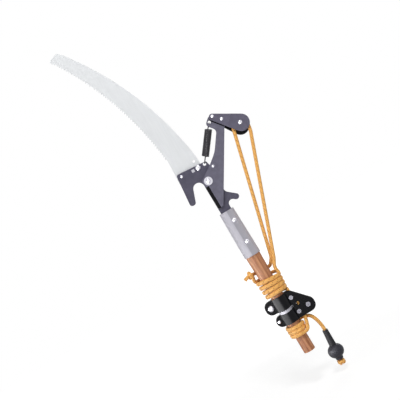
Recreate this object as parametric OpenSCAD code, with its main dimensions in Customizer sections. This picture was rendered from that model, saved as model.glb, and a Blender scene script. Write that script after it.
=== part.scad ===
// Tree pruner head on the top of a wooden pole. A curved saw blade stands above a hooked plate, and
// a rope over a pulley block swings the cutting lever past the hook. A return spring opens it again.
// Millimetres. Z runs up the pole from its lower end, X points to the pulley side, Y to the back.

/* [Pole] */
// Diameter of the pole's straight lower end, which plugs into an extension pole
pole_end_d = 24.5; // [22:0.5:26]
// Length of the straight lower end
pole_end_len = 32; // [24:1:36]
// Diameter of the pole inside the rope bracket
pole_grip_d = 26.8; // [26:0.2:28]
// Diameter of the pole just below the socket
pole_top_d = 31; // [30:0.2:32]
// Length of pole from its lower end to the mouth of the socket
pole_show = 222; // [216:1:240]

/* [Socket] */
// Length of the steel socket
socket_len = 102; // [96:1:110]
// Outer diameter of the socket at its closed upper end
socket_top_d = 31.4; // [30.4:0.2:32]
// Sheet thickness of the socket
socket_t = 1.8; // [1.4:0.1:2.2]
// Diameter of the two rivets through the socket
socket_rivet_d = 5; // [4:0.5:6]

/* [Hook plate] */
// Thickness of the hook plate
plate_t = 5; // [4:0.5:6]
// Width of the tang that goes down into the pole
tang_w = 23.5; // [22:0.5:24]
// Height of the pivot above the top of the socket
pivot_rise = 70; // [69:0.5:74]
// Distance from the pivot to the outer side of the hook's finger
hook_reach = 56.5; // [54:0.5:60]
// Radius of the hook's throat
throat_r = 11.6; // [10:0.2:12]
// Diameter of the pivot bolt
pivot_d = 10; // [8:0.5:11]
// Diameter of the pivot bolt's flange
pivot_flange_d = 17.4; // [16:0.2:18]

/* [Saw blade] */
// Height of the saw's tip above the pivot
saw_reach = 376; // [350:2:390]
// Thickness of the saw blade
saw_t = 1.6; // [1.2:0.1:2]
// Distance between two saw teeth
tooth_pitch = 5.5; // [4.5:0.25:7]
// Depth of a saw tooth
tooth_depth = 3; // [2:0.25:4]
// Diameter of the bolt that holds the saw blade
saw_bolt_d = 6; // [5:0.5:7]

/* [Cutting lever] */
// Thickness of the cutting lever
lever_t = 5; // [4:0.5:6]
// Running gap between the lever and the hook plate
lever_gap = 0.3; // [0.2:0.05:0.5]
// Width of the ground bevel on the cutting edge
bevel_w = 7; // [4:0.5:8]
// Diameter of the pin that stops the lever when it is open
stop_d = 5; // [4:0.25:5.5]

/* [Pulley block] */
// Sheet thickness of the two cheeks
cheek_t = 2.5; // [2:0.25:3]
// Radius of the cheeks' round end
cheek_r = 17.4; // [16.6:0.2:19]
// Diameter of the pulley's axle
axle_d = 7; // [6:0.5:8]
// Diameter of the rivets that hold the cheeks to the lever
cheek_rivet_d = 5; // [4:0.25:5.5]
// Play between the pulley and a cheek
sheave_play = 0.4; // [0.3:0.05:0.6]

/* [Return spring] */
// Wire diameter of the return spring
wire_d = 1.7; // [1.5:0.05:1.75]
// Mean diameter of the spring's curls
curl_d = 13.6; // [12:0.2:14]
// Number of curls
curl_count = 24; // [20:1:24]

/* [Rope bracket] */
// Sheet thickness of the bracket's two shells
bracket_t = 2.5; // [2:0.25:3]
// Thickness of the metal liner between the bracket and the pole
liner_t = 1.4; // [1.2:0.1:1.6]
// Gap between the two clamp ears
ear_gap = 3; // [2:0.5:4]
// Gap between the two wings, where the rope runs
wing_gap = 9.4; // [9.2:0.1:10.4]
// Diameter of the large bolt in the upper ear
ear_bolt_d = 6; // [5:0.5:7]
// Diameter of the small screw in the lower ear
ear_screw_d = 4; // [3:0.25:4.5]
// Diameter of the two wing screws next to the pole
wing_screw_d = 3.4; // [3:0.1:3.8]
// Diameter of the screw that the guide sheave turns on
guide_axle_d = 5; // [4:0.25:6]

/* [Rope] */
// Diameter of the rope
rope_d = 7.4; // [6.8:0.1:7.6]
// Number of turns in the upper winding
upper_turns = 4; // [3:1:4]
// Rise of one turn of the upper winding
upper_pitch = 8.6; // [8.2:0.1:9]
// Half width of the loose upper winding
upper_half_w = 23; // [22.5:0.25:24]
// Rise of one turn of the lower winding
lower_pitch = 8; // [7.95:0.05:8.2]

/* [Handle] */
// Length of the sleeve above the ball
sleeve_len = 34; // [28:1:38]
// Diameter of the ball
ball_d = 33; // [30:0.5:36]
// Height of the ball
ball_h = 30; // [28:0.5:32]

/* [Hidden] */

// Colours
c_steel = "#6b6976";
c_black = "#1b1b20";
c_zinc = "#c4c3cb";
c_bright = "#dcdce2";
c_wood = "#b9805e";
c_rope = "#eab25c";
c_spring = "#3f3d42";
c_grip = "#4a4a56";

// Fits: radial clearance of a seated pin, of a running bore, and the gap between bodies or soft pieces
seat = 0.05;
run = 0.06;
clear = 0.3;
turn_fn = 64;
arc_step = 18;
eps = 0.01;

// Heights up the pole, and the pivot of the head
socket_z = pole_show;
socket_top = socket_z + socket_len;
pivot = [0, socket_top + pivot_rise];

// Levels from front to back, where y is less toward the front
plate_front = -plate_t / 2;
plate_back = plate_t / 2;
lever_back = plate_front - lever_gap;
lever_front = lever_back - lever_t;
block_y = (lever_front + lever_back) / 2;
saw_back = plate_back + saw_t;

// Pole: heights where the taper changes, and how far the pole stops below the socket's end
grip_z0 = 64;
grip_z1 = 127;
pole_slot_gap = 0.15;
pole_top_gap = 4;
socket_end_d = pole_top_d + 2 * (socket_t + seat);
socket_in_top_d = socket_top_d - 2 * socket_t;

// Socket: the lapped seam at the front and the two rivets through it
lap_t = 0.7;
lap_from = -2;
lap_to = 42;
socket_rivet_x = 4.5;
socket_rivet_rise = [socket_len - 71.5, socket_len - 22];
socket_rivet_head_d = socket_rivet_d + 4;
socket_rivet_head_h = 2;

// Hook plate: outline around the pivot, each point with its corner radius
tang_drop = 158;
stop_at = [23.5, 21];
stop_gap = 0.4;
hook_outline = [
  [7.2 - hook_reach, 42.6, 5],
  [16.5, 37, 4],
  [stop_at[0] - stop_d / 2 - stop_gap, stop_at[1] - 1, 3],
  [17.9, -34.4, 12],
  [40.4, -53.5, 5.8],
  [33.3, -62.9, 5.8],
  [tang_w / 2, -46.5, 8],
  [tang_w / 2, -tang_drop, 2],
  [-tang_w / 2, -tang_drop, 2],
  [-tang_w / 2, 60.8, throat_r],
  [11.9 - hook_reach, -27, 5.5],
  [-hook_reach, -27, 5.5]
];
plate_spring_hole = [11, 33];
spring_hole_d = 6.6;

// Saw blade: places around the pivot
saw_bolt_at = [-3.5, 33.5];
saw_key_at = [-15.5, 33];
saw_rivet_at = [-41, 35];
saw_spare_at = [-4.5, 49];
saw_key_w = 6;
saw_rivet_d = 4;
saw_spare_d = 5;
saw_foot = 24;
saw_tooth_foot = [-52, 80];
saw_tooth_mid = [-684.7, 22.9];
saw_tooth_r = norm(saw_tooth_foot - saw_tooth_mid);
saw_tooth_top = saw_reach - 14.5;
saw_back_foot = [4.5, 56];
saw_back_mid = [-639.5, -22.6];
saw_back_r = norm(saw_back_foot - saw_back_mid);
saw_back_top = saw_reach - 8;
saw_tip_trim = 2.4;
saw_bolt_head_d = 12;
saw_bolt_head_h = 3.6;
saw_nut_af = 10;
saw_nut_h = 5;
saw_rivet_head_d = 5.4;
saw_rivet_head_h = 1.2;

// Pivot bolt
pivot_flange_h = 2;
pivot_dome_d = 9.4;
pivot_dome_h = 3.2;
pivot_nut_af = 16;
pivot_nut_h = 8;

// Cutting lever: outline around the pivot, with corner radii
lever_edge = -11.5;
lever_outline = [
  [lever_edge, -58.5, 3],
  [0.9, -57.4, 4.5],
  [84.6, 78.2, 2],
  [95, 92, 4],
  [78, 108, 4],
  [64.5, 109, 4],
  [52, 98, 7],
  [66.5, 79.3, 9],
  [40.5, 43, 60],
  [19, 26, 8],
  [lever_edge, 6, 9]
];
bevel_z = [-62, -9];
bevel_land = 0.8;
lever_spring_hole = [62, 99.5];
stop_head_h = 0.8;

// Pulley block: centres around the pivot
cheek_near = [72, 105.3];
cheek_near_r = 6.7;
axle_at = [114.5, 68];
cheek_rivet_at = [[73, 107], [86.5, 93]];
rear_shift_near = [-0.8, -0.8];
rear_shift_far = [-2.4, -6.5];
rear_extra_r = 0.4;
front_shift_far = [1.3, -1.7];
cheek_rivet_head_d = cheek_rivet_d + 1.8;
cheek_rivet_head_h = 1.6;
axle_head_d = axle_d + 2;
axle_head_h = 2.4;
joggle_from = 27;
joggle_to = 35;
groove_r = rope_d / 2 + clear;
sheave_pitch_r = 12.8;
sheave_flange_r = sheave_pitch_r + 1;
sheave_w = 2 * (groove_r + 0.5);
cheek_in = sheave_w / 2 + sheave_play;

// Return spring: line between the two holes, where the curls start and stop along it, and how the hooks lie
spring_from = pivot + plate_spring_hole;
spring_to = pivot + lever_spring_hole;
spring_y = (lever_front + lever_back) / 4;
spring_len = norm(spring_to - spring_from);
curl_start = 15.8;
curl_stop = spring_len - 14.3;
curl_pitch = (curl_stop - curl_start) / curl_count;
curl_rings = 8;
wire_sides = 6;
hook_sides = 8;
shank_in = 6;
upper_hook_turn = 5.7;

// Rope bracket
bracket_z0 = 66.5;
bracket_z1 = 125.5;
slot_z0 = 92.3;
slot_z1 = 97.4;
slot_end = 17.8;
slot_bow = 3.6;
liner_r = pole_grip_d / 2 + seat + liner_t;
shell_in = liner_r + seat;
shell_r = shell_in + bracket_t;
bracket_outline = [
  [24.5, bracket_z1, 3],
  [59, 87.8, 9],
  [59, bracket_z0, 14],
  [-29, bracket_z0, 12],
  [-29, slot_z0, 12],
  [1, slot_z0 - slot_bow, 60],
  [slot_end, slot_z0, 2],
  [slot_end, slot_z1, 2],
  [1, slot_z1 - slot_bow / 2, 60],
  [-35.6, slot_z1, 13],
  [-35.6, bracket_z1, 13]
];
lug_out = slot_end + 0.4;
lug_t = 3;
lug_z = [slot_z0 - slot_bow - 2, slot_z1 + 2];
ear_bolt_at = [-23.4, 110.5];
ear_screw_at = [-23, 79.5];
wing_screw_at = [[21.2, 110.5], [21.6, 79]];
guide_at = [44.1, 82];
view_hole_at = [28.1, 94.2];
view_hole_d = 7;
ear_out = ear_gap / 2 + bracket_t;
wing_out = wing_gap / 2 + bracket_t;
ear_bolt_head_d = 13.4;
ear_bolt_head_h = 4;
ear_screw_head_d = 7.4;
screw_head_d = 8.6;
screw_head_h = 2.2;
screw_hex = 3.4;
nut_h = 3.4;
spacer_wall = 0.8;
guide_play = 0.4;
guide_pitch_r = 15;
guide_flange_r = 13;

// Rope: sides and rings of the tubes, and the gap between rope and pole
rope_r = rope_d / 2;
rope_sides = 10;
winding_sides = 6;
loop_rings = 24;
rope_seat = 0.2;
upper_z = 163;
upper_shift = 2.5;
upper_taper = 1.6;
upper_lift = 8;
lower_z = 39.1;
lower_exit = 1035;
lower_level = 0.4;

// Rope: points where one piece of it meets the next
run_a_foot = [31.4, 4.4, 204];
run_a_bow = [-17.9, -4.2];
run_b_foot = [33.7, -4.4, 196];
run_b_bow = [9.7, -25];
guide_head = [24.1, 0, 120.5];
guide_foot = [25.2, -5, 58.5];
tail_head = [30.4, 7, 60.6];
knot_at = [-24, 2, 186];
anchor_route = [[25.2, 6.2, 193.6], [20, 10.5, 188], [13, 16, 185.2], [4, 19.4, 184.5], [-5, 19.4, 185],
  [-13, 15.5, 185.5], [-17.5, 10.5, 186], [-19.6, 7.8, 186]];
end_route = [[-24.4, 3, 178.6], [-25, 3.6, 175.6], [-23.4, 8, 172.8], [-18, 13.5, 171.8], [-9, 18.5, 171.5], [2, 20, 171.2],
  [9, 18, 171]];
guide_route = [[28.4, 0, 113], [28.9, 0, 101], [28.9, 0, 80], [28.2, 0, 72], [27.2, -0.2, 67], [26.6, -0.9, 63.8]];
lower_sweep = [18.4, -18.4, 40];
tail_route = [[35.6, 5.8, 58.8], [41.2, 3.6, 50], [45.2, 2.8, 39], [46.9, 2, 28]];

// Handle: its top, the lean of its line and the rope's way through it
handle_top = [46.8, 1.6, 19];
handle_lean = 3.1;
handle_dir = [-sin(handle_lean), 0, -cos(handle_lean)];
sleeve_top_r = 5.6;
sleeve_low_r = 7.2;
rope_bore_r = rope_r + 0.25;
ball_mid = sleeve_len + ball_h / 2 - 1.5;
neck_r = 7.4;
neck_h = 5;
ball_low = ball_mid + ball_h / 2 + neck_h - 2;
knot_r = 9.5;
knot_h = 13;

// Vectors, arcs and outlines with round corners
function unit(v) = v / norm(v);
function turned(a, r) = r * [cos(a), sin(a)];
function angle_of(v) = atan2(v[1], v[0]);
function arc_about(c, p, q) =
  let (a = angle_of(p - c), sweep = (angle_of(q - c) - a + 540) % 360 - 180,
       r = norm(p - c), steps = max(2, ceil(abs(sweep) / 12), ceil(abs(sweep) * PI / 180 * r / arc_step)))
  [for (k = [0 : steps]) c + turned(a + sweep * k / steps, r)];
function corner(a, b, c) =
  let (p = [b[0], b[1]], u = unit([a[0], a[1]] - p), v = unit([c[0], c[1]] - p),
       half = acos(u * v) / 2, reach = b[2] / tan(half))
  arc_about(p + unit(u + v) * b[2] / sin(half), p + u * reach, p + v * reach);
function rounded(pts) =
  [for (i = [0 : len(pts) - 1])
    each corner(pts[(i + len(pts) - 1) % len(pts)], pts[i], pts[(i + 1) % len(pts)])];
// Two circles wrapped by their outer tangents
function capsule(c1, r1, c2, r2) =
  let (along = angle_of(c2 - c1), lean = acos((r1 - r2) / norm(c2 - c1)), n = 20)
  concat([for (k = [0 : n]) c2 + turned(along - lean + 2 * lean * k / n, r2)],
         [for (k = [0 : n]) c1 + turned(along + lean + (360 - 2 * lean) * k / n, r1)]);

// Paths and tubes
function bezier(a, b, c, d, n) =
  [for (i = [0 : n]) let (t = i / n, s = 1 - t)
    s * s * s * a + 3 * s * s * t * b + 3 * s * t * t * c + t * t * t * d];
function along(p, i) = unit(p[min(i + 1, len(p) - 1)] - p[max(i - 1, 0)]);
function square_to(v, t) = unit(v - (v * t) * t);
function off_axis(t) = abs(t[1]) < 0.9 ? [0, 1, 0] : [1, 0, 0];
function tube_points(p, r, sides) =
  [for (i = 0, n = square_to(off_axis(along(p, 0)), along(p, 0)); i < len(p); i = i + 1,
        n = square_to(n, along(p, min(i, len(p) - 1))))
    let (b = cross(along(p, i), n))
    each [for (k = [0 : sides - 1]) p[i] + r * (cos(360 * k / sides) * n + sin(360 * k / sides) * b)]];
function tube_faces(rings, sides) = let (last = (rings - 1) * sides)
  concat(
    [for (i = [0 : rings - 2]) for (k = [0 : sides - 1]) let (a = i * sides + k,
        b = i * sides + (k + 1) % sides) each [[a, a + sides, b + sides], [a, b + sides, b]]],
    [for (k = [1 : sides - 2]) [0, k, k + 1]],
    [for (k = [1 : sides - 2]) [last, last + k + 1, last + k]]);
// Least gap of a wound tube to itself, between points over half a loop apart
function least_gap(p, d, half_loop) =
  min([for (i = [0 : len(p) - half_loop - 1]) for (j = [i + half_loop : len(p) - 1]) norm(p[i] - p[j])]) - d;

module tube(p, d, sides) {
  polyhedron(tube_points(p, d / 2, sides), tube_faces(len(p), sides));
}

// A flat plate from an outline of x and z, between two levels of y
module slab(outline, y0, y1) {
  translate([0, y1, 0]) rotate([90, 0, 0]) linear_extrude(y1 - y0) polygon(outline);
}

// A round bar along y at a place given in x and z
module bar(at, d, y0, y1, fn = turn_fn) {
  translate([at[0], y1, at[1]]) rotate([90, 0, 0]) cylinder(d = d, h = y1 - y0, $fn = fn);
}

// A domed head whose flat side lies at y and whose crown points to the front
module dome(at, d, h, y) {
  r = (d * d / 4 + h * h) / (2 * h);
  translate([at[0], y, at[1]]) rotate([90, 0, 0]) intersection() {
    translate([0, 0, h - r]) sphere(r = r, $fn = turn_fn);
    cylinder(d = d + 1, h = h + 1, $fn = turn_fn);
  }
}

// A hexagon nut on a bar along y
module nut(at, af, bore, y0, y1) {
  difference() {
    bar(at, af / cos(30), y0, y1, fn = 6);
    bar(at, bore, y0 - 1, y1 + 1);
  }
}

// A socket-head screw along y: a round head with a hexagon recess in front of level y, and its shank
module socket_screw(at, d, head_d, head_h, y, y_end) {
  difference() {
    union() {
      bar(at, head_d, y - head_h, y);
      bar(at, d, y - eps, y_end);
    }
    bar(at, screw_hex, y - head_h - 1, y - head_h + 1.4, fn = 6);
  }
}

// Pole and socket

function pole_r(z) =
  z < pole_end_len ? pole_end_d / 2
  : lookup(z, [[pole_end_len, pole_end_d / 2], [grip_z0, pole_grip_d / 2], [grip_z1, pole_grip_d / 2],
      [socket_z, pole_top_d / 2], [socket_top, socket_in_top_d / 2 - seat]]);

module wooden_pole() {
  top = socket_top - pole_top_gap;
  color(c_wood) difference() {
    rotate_extrude($fn = turn_fn) polygon([
      [0, 0], [pole_end_d / 2, 0], [pole_end_d / 2, pole_end_len], [pole_grip_d / 2, grip_z0], [pole_grip_d / 2, grip_z1],
      [pole_top_d / 2, socket_z], [pole_r(top), top], [0, top]]);
    slot_z = pivot[1] - tang_drop - pole_slot_gap;
    translate([-pole_top_d, plate_front - pole_slot_gap, slot_z])
      cube([2 * pole_top_d, plate_t + 2 * pole_slot_gap, socket_len + tang_drop]);
    for (rise = socket_rivet_rise)
      bar([socket_rivet_x, socket_z + rise], socket_rivet_d + 2 * seat, -pole_top_d, pole_top_d);
  }
}

// The socket's outer cone, grown by a given thickness
module socket_cone(grow) {
  translate([0, 0, socket_z])
    cylinder(d1 = socket_end_d + 2 * grow, d2 = socket_top_d + 2 * grow, h = socket_len, $fn = turn_fn);
}

module socket() {
  reach = 2 * socket_end_d;
  slot = [tang_w + 2 * pole_slot_gap, plate_t + 2 * pole_slot_gap];
  color(c_zinc) difference() {
    union() {
      socket_cone(0);
      intersection() {
        socket_cone(lap_t);
        linear_extrude(socket_top + 1)
          polygon([[0, 0], reach * [sin(lap_from), -cos(lap_from)], reach * [sin(lap_to), -cos(lap_to)]]);
      }
    }
    translate([0, 0, socket_z]) cylinder(
      d1 = socket_end_d - 2 * socket_t, d2 = socket_in_top_d, h = socket_len - socket_t, $fn = turn_fn);
    translate([-slot[0] / 2, -slot[1] / 2, socket_top - 2 * socket_t]) cube([slot[0], slot[1], 4 * socket_t]);
    for (rise = socket_rivet_rise)
      bar([socket_rivet_x, socket_z + rise], socket_rivet_d + 2 * seat, -reach, reach);
  }
}

// Outer radius of the socket at a height above its mouth
function socket_r(rise) = (socket_end_d + (socket_top_d - socket_end_d) * rise / socket_len) / 2;

module socket_rivets() {
  color(c_bright) for (rise = socket_rivet_rise) {
    at = [socket_rivet_x, socket_z + rise];
    front = sqrt(pow(socket_r(rise) + lap_t, 2) - pow(socket_rivet_x, 2));
    back = sqrt(pow(socket_r(rise), 2) - pow(socket_rivet_x, 2));
    bar(at, socket_rivet_d, -front - 0.5, back + 0.5);
    difference() {
      union() {
        dome(at, socket_rivet_head_d, socket_rivet_head_h, -front);
        bar(at, socket_rivet_head_d, -front - eps, -front + 3);
      }
      socket_cone(lap_t);
    }
    difference() {
      bar(at, socket_rivet_head_d, back - 3, back + 1);
      socket_cone(0);
    }
  }
}

// Head: hook plate, saw blade and their fasteners

// An outline given around the pivot, moved to its place
function at_pivot(pts) = [for (p = pts) p + pivot];

module hook_plate() {
  color(c_steel) difference() {
    slab(at_pivot(rounded(hook_outline)), plate_front, plate_back);
    bar(pivot, pivot_d + 2 * seat, plate_front - 1, plate_back + 1);
    bar(pivot + plate_spring_hole, spring_hole_d, plate_front - 1, plate_back + 1);
    bar(pivot + saw_bolt_at, saw_bolt_d + 2 * seat, plate_front - 1, plate_back + 1);
    bar(pivot + saw_rivet_at, saw_rivet_d + 2 * seat, plate_front - 1, plate_back + 1);
    key_hole(plate_front - 1, plate_back + 1);
    for (rise = socket_rivet_rise)
      bar([socket_rivet_x, socket_z + rise], socket_rivet_d + 2 * seat, plate_front - 1, plate_back + 1);
  }
}

// Square hole for the saw blade's key
module key_hole(y0, y1) {
  w = saw_key_w + 2 * seat;
  place = pivot + saw_key_at;
  translate([place[0] - w / 2, y0, place[1] - w / 2]) cube([w, y1 - y0, w]);
}

// A point at height z on the toothed edge, and one on the back
function on_teeth(z) = [saw_tooth_mid[0] + sqrt(pow(saw_tooth_r, 2) - pow(z - saw_tooth_mid[1], 2)), z];
function on_back(z) = [saw_back_mid[0] + sqrt(pow(saw_back_r, 2) - pow(z - saw_back_mid[1], 2)), z];

// Toothed edge: points on the arc from the foot to the tip, with the roots set back into the blade
function saw_teeth() =
  let (from = angle_of(saw_tooth_foot - saw_tooth_mid),
       sweep = angle_of(on_teeth(saw_tooth_top) - saw_tooth_mid) - from,
       n = floor(sweep * PI / 180 * saw_tooth_r / tooth_pitch))
  [for (k = [0 : n - 1]) each [
    saw_tooth_mid + turned(from + sweep * k / n, saw_tooth_r + tooth_depth),
    saw_tooth_mid + turned(from + sweep * (k + 0.3) / n, saw_tooth_r)]];

module saw_blade() {
  top = on_back(saw_back_top);
  tip = [
    on_teeth(saw_tooth_top),
    concat(on_teeth(saw_back_top), [2.5]),
    concat(on_back(saw_reach) - [saw_tip_trim, 0], [4]),
    top];
  outline = concat(
    [[saw_tooth_foot[0], saw_foot]],
    saw_teeth(),
    corner(tip[0], tip[1], tip[2]),
    corner(tip[1], tip[2], tip[3]),
    arc_about(saw_back_mid, top, saw_back_foot),
    [[saw_back_foot[0], saw_foot]]);
  color(c_bright) difference() {
    slab(at_pivot(outline), plate_back, saw_back);
    bar(pivot + saw_bolt_at, saw_bolt_d + 2 * seat, plate_back - 1, saw_back + 1);
    bar(pivot + saw_rivet_at, saw_rivet_d + 2 * seat, plate_back - 1, saw_back + 1);
    bar(pivot + saw_spare_at, saw_spare_d, plate_back - 1, saw_back + 1);
    key_hole(plate_back - 1, saw_back + 1);
  }
}

module saw_bolt() {
  at = pivot + saw_bolt_at;
  color(c_bright) {
    dome(at, saw_bolt_head_d, saw_bolt_head_h, plate_front);
    bar(at, saw_bolt_d, plate_front - eps, saw_back + saw_nut_h + 1);
  }
}

module saw_nut() {
  color(c_bright) nut(pivot + saw_bolt_at, saw_nut_af, saw_bolt_d + 2 * seat, saw_back, saw_back + saw_nut_h);
}

module saw_rivet() {
  at = pivot + saw_rivet_at;
  color(c_bright) {
    dome(at, saw_rivet_head_d, saw_rivet_head_h, plate_front);
    bar(at, saw_rivet_d, plate_front - eps, saw_back + eps);
    bar(at, saw_rivet_head_d, saw_back, saw_back + saw_rivet_head_h);
  }
}

// Square key that keeps the saw blade from turning, clinched at the back
module saw_key() {
  proud = 0.6;
  place = pivot + saw_key_at;
  color(c_bright) {
    translate([place[0] - saw_key_w / 2, plate_front - proud, place[1] - saw_key_w / 2])
      cube([saw_key_w, saw_back - plate_front + proud + eps, saw_key_w]);
    bar(place, saw_key_w * sqrt(2) + 1, saw_back, saw_back + saw_rivet_head_h);
  }
}

module pivot_bolt() {
  color(c_bright) {
    dome(pivot, pivot_dome_d, pivot_dome_h, lever_front - lever_gap - pivot_flange_h + eps);
    bar(pivot, pivot_flange_d, lever_front - lever_gap - pivot_flange_h, lever_front - lever_gap);
    bar(pivot, pivot_d, lever_front - lever_gap - eps, plate_back + pivot_nut_h + 1.5);
  }
}

module pivot_nut() {
  color(c_bright) nut(pivot, pivot_nut_af, pivot_d + 2 * seat, plate_back, plate_back + pivot_nut_h);
}

// Lever and pulley block

module cutting_lever() {
  color(c_steel) difference() {
    slab(at_pivot(rounded(lever_outline)), lever_front, lever_back);
    bar(pivot, pivot_d + 2 * run, lever_front - 1, lever_back + 1);
    bar(pivot + lever_spring_hole, spring_hole_d, lever_front - 1, lever_back + 1);
    bar(pivot + stop_at, stop_d + 2 * seat, lever_front - 1, lever_back + 1);
    for (at = cheek_rivet_at)
      bar(pivot + at, cheek_rivet_d + 2 * seat, lever_front - 1, lever_back + 1);
    translate([0, 0, pivot[1] + bevel_z[0]]) linear_extrude(bevel_z[1] - bevel_z[0]) polygon([
      [lever_edge - 1, lever_front - 1], [lever_edge + bevel_w, lever_front - 1],
      [lever_edge + bevel_w, lever_front], [lever_edge, lever_back - bevel_land],
      [lever_edge - 1, lever_back - bevel_land]]);
  }
}

// Pin through the lever that meets the plate's edge when the lever is open
module lever_stop_pin() {
  at = pivot + stop_at;
  color(c_bright) {
    bar(at, stop_d, lever_front - eps, plate_back);
    dome(at, stop_d, stop_head_h, lever_front);
  }
}

// One cheek: flat where it lies on the lever, then stepped outward to clear the pulley.
// side is -1 for the front and 1 for the back; near and far are the centres of its two round ends.
module cheek(side, near, far, far_r) {
  flat = lever_t / 2;
  step = cheek_in;
  line = unit(axle_at - cheek_rivet_at[0]);
  lean = -angle_of(line);
  profile = [
    [-40, flat], [joggle_from, flat], [joggle_to, step], [120, step],
    [120, step + cheek_t], [joggle_to, step + cheek_t], [joggle_from, flat + cheek_t], [-40, flat + cheek_t]];
  start = pivot + cheek_rivet_at[0];
  difference() {
    intersection() {
      slab(at_pivot(capsule(near, cheek_near_r, far, far_r)), block_y - 20, block_y + 20);
      translate([start[0], block_y, start[1]]) rotate([0, lean, 0]) translate([0, 0, -60])
        linear_extrude(120) polygon([for (p = profile) [p[0], side * p[1]]]);
    }
    bar(pivot + axle_at, axle_d + 2 * seat, block_y - 20, block_y + 20);
    for (at = cheek_rivet_at)
      bar(pivot + at, cheek_rivet_d + 2 * seat, block_y - 20, block_y + 20);
  }
}

module cheek_front() {
  color(c_steel) cheek(-1, cheek_near, axle_at + front_shift_far, cheek_r);
}

module cheek_rear() {
  color(c_black) cheek(1, cheek_near + rear_shift_near, axle_at + rear_shift_far, cheek_r + rear_extra_r);
}

module cheek_rivets() {
  half = lever_t / 2 + cheek_t;
  color(c_bright) for (place = cheek_rivet_at) {
    at = pivot + place;
    dome(at, cheek_rivet_head_d, cheek_rivet_head_h, block_y - half);
    bar(at, cheek_rivet_d, block_y - half - eps, block_y + half + eps);
    bar(at, cheek_rivet_head_d, block_y + half, block_y + half + cheek_rivet_head_h / 2);
  }
}

module pulley_axle() {
  at = pivot + axle_at;
  half = cheek_in + cheek_t;
  color(c_bright) {
    dome(at, axle_head_d, axle_head_h, block_y - half);
    bar(at, axle_d, block_y - half - eps, block_y + half + eps);
    bar(at, axle_head_d, block_y + half, block_y + half + axle_head_h / 2);
  }
}

// A grooved wheel on an axle along y
module sheave(at, y, bore_d, flange_r, pitch_r, w) {
  translate([at[0], y, at[1]]) rotate([90, 0, 0]) rotate_extrude($fn = turn_fn) difference() {
    translate([bore_d / 2 + run, -w / 2]) square([flange_r - bore_d / 2 - run, w]);
    translate([pitch_r, 0]) circle(r = groove_r, $fn = turn_fn);
  }
}

module pulley_sheave() {
  color(c_black) sheave(pivot + axle_at, block_y, axle_d, sheave_flange_r, sheave_pitch_r, sheave_w);
}

// Return spring

// A point at distance s along the spring's line, u across it in the plate's plane and v to the back
function at_spring(s, u, v) =
  let (a = unit(spring_to - spring_from), p = spring_from + s * a + u * [a[1], -a[0]])
  [p[0], spring_y + v, p[1]];
function curl_point(turn) = let (a = 360 * turn)
  at_spring(curl_start + curl_pitch * turn, curl_d / 2 * cos(a), curl_d / 2 * sin(a));
curl_head = unit(curl_point(0) - curl_point(1 / curl_rings / 8));
curl_tail = unit(curl_point(curl_count) - curl_point(curl_count - 1 / curl_rings / 8));
curl_path = concat(
  [curl_point(0) + wire_d * curl_head],
  [for (i = [0 : curl_count * curl_rings]) curl_point(i / curl_rings)],
  [curl_point(curl_count) + wire_d * curl_tail]);

module return_spring() {
  echo(spring_gap = least_gap(curl_path, wire_d, curl_rings / 2));
  color(c_spring) tube(curl_path, wire_d, wire_sides);
}

// The shank of each hook lies loose in the end of the coil, and that of the lower one rests against the curls
module spring_lower_hook() {
  reach = plate_t / 2 + wire_d / 2 + 0.9;
  front = -reach - spring_y;
  back = reach - spring_y;
  rest = curl_d / 2 - wire_d - clear;
  color(c_spring) tube([
    at_spring(curl_start + shank_in, rest, 0),
    at_spring(curl_start + 2, rest, 0),
    at_spring(curl_start - 1.5, 0, 0),
    at_spring(curl_start - 6, 0, front),
    at_spring(2.5, 0, front),
    at_spring(-0.7, 0, front + 0.8),
    at_spring(-1.6, 0, -spring_y),
    at_spring(-0.7, 0, back - 0.8),
    at_spring(2, 0, back),
    at_spring(4.5, 0, back)], wire_d, hook_sides);
}

// The upper hook stands halfway between the angles that the spring takes on the lever
module spring_upper_hook() {
  reach = lever_t / 2 + wire_d / 2 + 0.9;
  front = block_y - reach - spring_y;
  back = block_y + reach - spring_y;
  foot = [spring_to[0], 0, spring_to[1]];
  color(c_spring) translate(foot) rotate([0, upper_hook_turn, 0]) translate(-foot) tube([
    at_spring(curl_stop - shank_in, 0, 0),
    at_spring(curl_stop + 1, 0, 0),
    at_spring(curl_stop + 6, 0, back),
    at_spring(spring_len - 2.5, 0, back),
    at_spring(spring_len + 0.5, 0, back - 0.8),
    at_spring(spring_len + 1.4, 0, block_y - spring_y),
    at_spring(spring_len + 0.5, 0, front + 0.8),
    at_spring(spring_len - 2, 0, front),
    at_spring(spring_len - 3.5, 0, front)], wire_d, hook_sides);
}

// Rope bracket

// Half of the bracket around the pole: half a ring, the two clamp ears and the two wings
module bracket_plan() {
  difference() {
    union() {
      intersection() {
        circle(r = shell_r, $fn = turn_fn);
        translate([-2 * shell_r, -2 * shell_r]) square([4 * shell_r, 2 * shell_r - ear_gap / 2]);
      }
      translate([-40, -ear_out]) square([40, bracket_t]);
      translate([0, -wing_out]) square([64, bracket_t]);
    }
    circle(r = shell_in, $fn = turn_fn);
  }
}

module bracket_shell() {
  difference() {
    intersection() {
      slab(rounded(bracket_outline), -2 * shell_r, 0);
      linear_extrude(bracket_z1 + 1) bracket_plan();
    }
    bar(ear_bolt_at, ear_bolt_d + 2 * seat, -2 * shell_r, 0);
    bar(ear_screw_at, ear_screw_d + 2 * seat, -2 * shell_r, 0);
    bar(guide_at, guide_axle_d + 2 * seat, -2 * shell_r, 0);
    for (at = wing_screw_at)
      bar(at, wing_screw_d + 2 * seat, -2 * shell_r, 0);
    bar(view_hole_at, view_hole_d, -2 * shell_r, 0);
  }
}

module bracket_front() {
  color(c_black) bracket_shell();
}

module bracket_rear() {
  color(c_black) mirror([0, 1, 0]) bracket_shell();
}

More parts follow.
